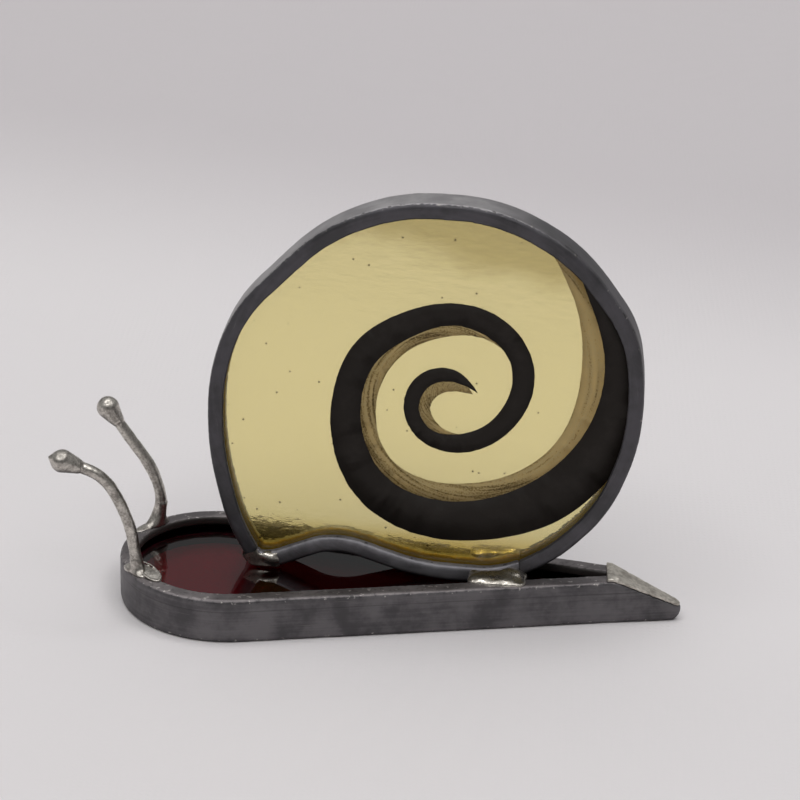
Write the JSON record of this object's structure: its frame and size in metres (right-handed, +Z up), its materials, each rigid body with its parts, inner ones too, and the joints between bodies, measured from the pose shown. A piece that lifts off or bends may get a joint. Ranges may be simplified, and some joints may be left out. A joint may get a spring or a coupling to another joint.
{
  "type": "snail figurine",
  "caption": "Snail figurine of leaded glass: red glass foot in a lead tray, amber glass shell with a painted spiral in a lead rim, and wire antennae with solder beads.",
  "frame": {"origin": "on the resting plane under the middle of the whole figurine", "axes": "+X towards the tail, +Z up, the side with the painted spiral faces -Y"},
  "size_m": [0.1016, 0.0328, 0.0698],
  "materials": {
    "red_glass": "deep red antique glass, polished by the flame",
    "amber_glass": "clear amber antique glass, a little wavy",
    "lead_came": "dull dark lead with a dressed surface",
    "solder": "tin-lead solder, uneven satin",
    "tinned_wire": "tinned copper wire, satin",
    "black_glass_paint": "fired black tracing paint",
    "brown_glass_paint": "fired brown shading paint with brush streaks"
  },
  "bodies": {
    "root": {"foot_glass": "red_glass", "tray_came": "lead_came", "tail_solder": "solder", "shell_glass": "amber_glass", "spiral_black_paint": "black_glass_paint", "spiral_brown_paint": "brown_glass_paint", "shell_came": "lead_came", "belly_came": "lead_came", "corner_solder": "solder", "near_seat_solder": "solder", "far_seat_solder": "solder", "front_antenna_wire": "tinned_wire", "front_antenna_bead": "solder", "front_antenna_solder": "solder", "back_antenna_wire": "tinned_wire", "back_antenna_bead": "solder", "back_antenna_solder": "solder"}
  },
  "joints": []
}
